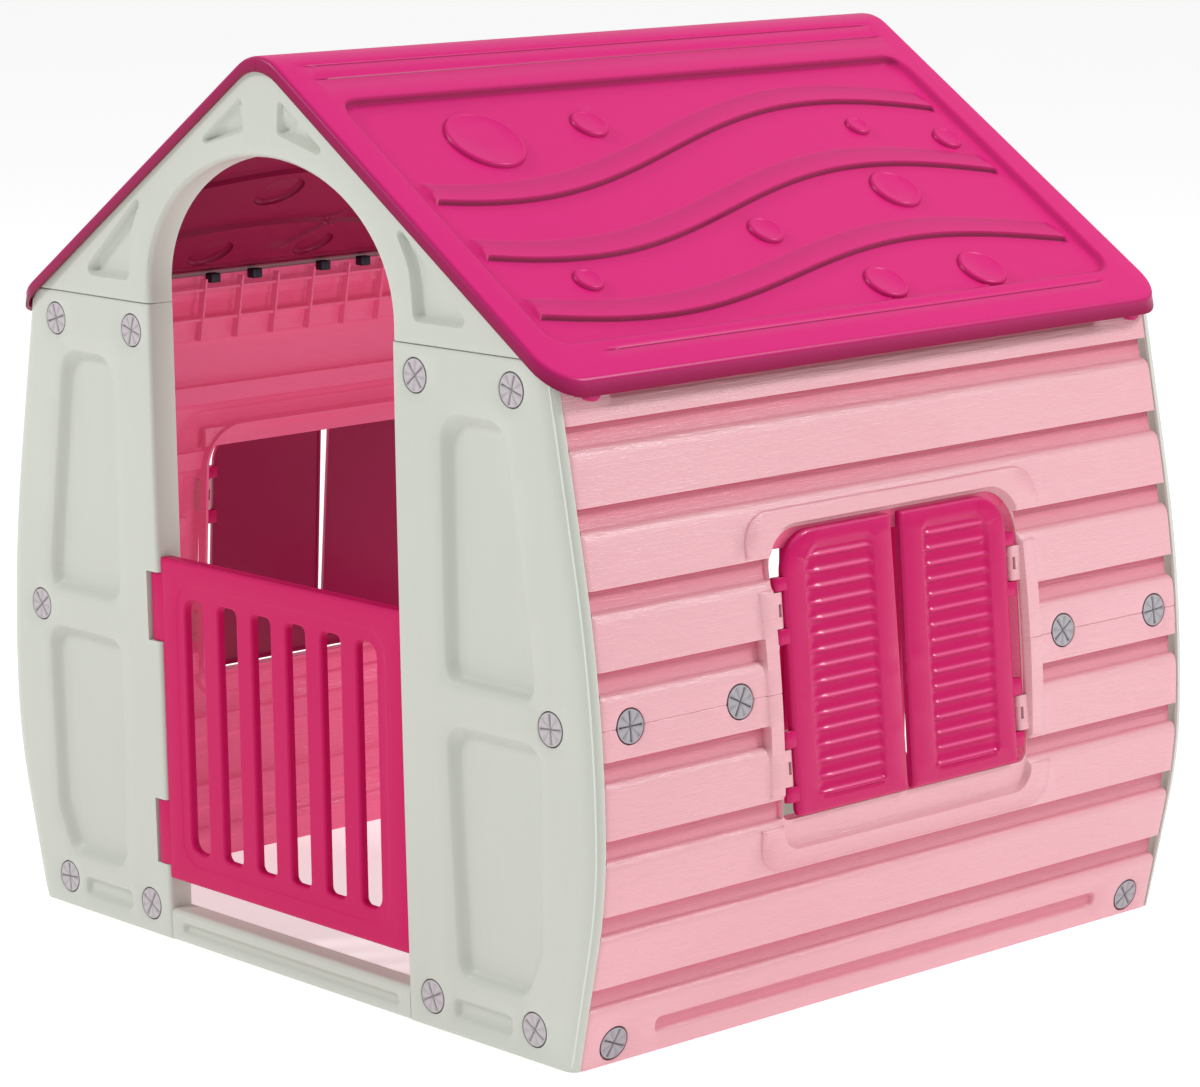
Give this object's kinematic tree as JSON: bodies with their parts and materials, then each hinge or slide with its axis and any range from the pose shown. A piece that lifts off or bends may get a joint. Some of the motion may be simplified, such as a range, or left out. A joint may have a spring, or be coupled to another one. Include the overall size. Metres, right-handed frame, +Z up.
{
  "type": "plastic playhouse",
  "caption": "Toddler playhouse of moulded plastic panels with a pitched roof, round-headed doorway with a hinged half door, planked side walls and louvred window shutters.",
  "frame": {"origin": "centre of the footprint, on the ground", "axes": "+Z up; the door side faces -Y; the roof ridge runs along Y; the planked walls face +X and -X"},
  "size_m": [1.0154, 0.904, 0.9918],
  "materials": {
    "grey_plastic": "satin, pale warm grey",
    "wall_plastic": "satin, pale pink with a fine moulded wood grain",
    "roof_plastic": "satin, strong pink",
    "door_plastic": "satin, raspberry",
    "shutter_plastic": "satin, deep raspberry",
    "front_screw_plastic": "satin, lilac grey",
    "screw_plastic": "satin, mid grey",
    "clip_plastic": "matt, near-black blue",
    "pin_plastic": "satin, light grey"
  },
  "bodies": {
    "house": {"front_left_panel": "grey_plastic", "front_right_panel": "grey_plastic", "front_arch": "grey_plastic", "front_sill": "grey_plastic", "back_left_panel": "grey_plastic", "back_right_panel": "grey_plastic", "back_arch": "grey_plastic", "back_sill": "grey_plastic", "back_infill": "door_plastic", "right_wall_upper": "wall_plastic", "right_wall_lower": "wall_plastic", "left_wall_upper": "wall_plastic", "left_wall_lower": "wall_plastic", "roof_right": "roof_plastic", "roof_left": "roof_plastic", "roof_clips": "clip_plastic", "eave_pegs": "roof_plastic", "front_screws": "front_screw_plastic", "back_screws": "front_screw_plastic", "right_wall_screws": "screw_plastic", "left_wall_screws": "screw_plastic", "door_hinge_pins": "pin_plastic", "right_shutter_pins": "pin_plastic", "left_shutter_pins": "pin_plastic"},
    "door": {"door": "door_plastic", "door_stile": "door_plastic", "door_rails": "door_plastic", "door_bars": "door_plastic"},
    "right_front_shutter": {"right_front_shutter": "shutter_plastic"},
    "right_back_shutter": {"right_back_shutter": "shutter_plastic"},
    "left_front_shutter": {"left_front_shutter": "shutter_plastic"},
    "left_back_shutter": {"left_back_shutter": "shutter_plastic"}
  },
  "joints": [
    {"name": "door_hinge", "type": "hinge", "parent": "house", "child": "door", "pos_m": [-0.2205, -0.437, 0.25], "axis": [0, 0, -1], "range_deg": [0, 105]},
    {"name": "right_front_shutter_hinge", "type": "hinge", "parent": "house", "child": "right_front_shutter", "pos_m": [0.4895, -0.175, 0.368], "axis": [0.0828, 0, -0.9966], "range_deg": [0, 100]},
    {"name": "right_back_shutter_hinge", "type": "hinge", "parent": "house", "child": "right_back_shutter", "pos_m": [0.4895, 0.175, 0.368], "axis": [-0.0828, 0, 0.9966], "range_deg": [0, 100]},
    {"name": "left_front_shutter_hinge", "type": "hinge", "parent": "house", "child": "left_front_shutter", "pos_m": [-0.4895, -0.175, 0.368], "axis": [0.0828, 0, 0.9966], "range_deg": [0, 100]},
    {"name": "left_back_shutter_hinge", "type": "hinge", "parent": "house", "child": "left_back_shutter", "pos_m": [-0.4895, 0.175, 0.368], "axis": [-0.0828, 0, -0.9966], "range_deg": [0, 100]}
  ]
}
